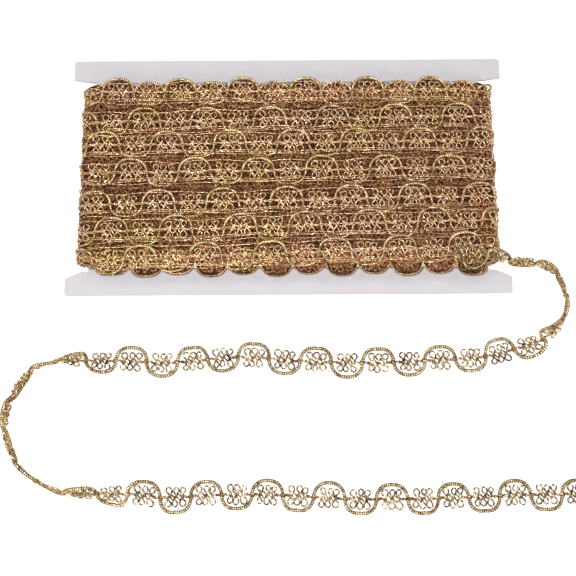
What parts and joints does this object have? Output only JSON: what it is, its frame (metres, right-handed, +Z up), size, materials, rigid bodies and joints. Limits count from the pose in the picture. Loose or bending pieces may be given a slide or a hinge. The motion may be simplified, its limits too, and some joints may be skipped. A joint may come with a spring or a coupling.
{
  "type": "braid trim wound on a card",
  "caption": "Gold metallic braid lace trim wound round a flat notched card, with one loose end laid in an S on the surface in front of it.",
  "frame": {"origin": "on the surface, at the pack's flat underside below the middle of the card", "axes": "+X along the wound rows to the right, +Y across the rows away from the loose end, +Z up out of the front of the pack"},
  "size_m": [0.2578, 0.2139, 0.0142],
  "materials": {
    "board": "smooth white coated card, pale grey with a hint of lilac",
    "wound_braid": "gold metallic thread and wrapped cord, warm and brown between the threads",
    "loose_braid": "gold metallic thread and wrapped cord with a satin glint"
  },
  "bodies": {
    "root": {"card": "board", "winding": "wound_braid", "loose_end": "loose_braid"}
  },
  "joints": []
}
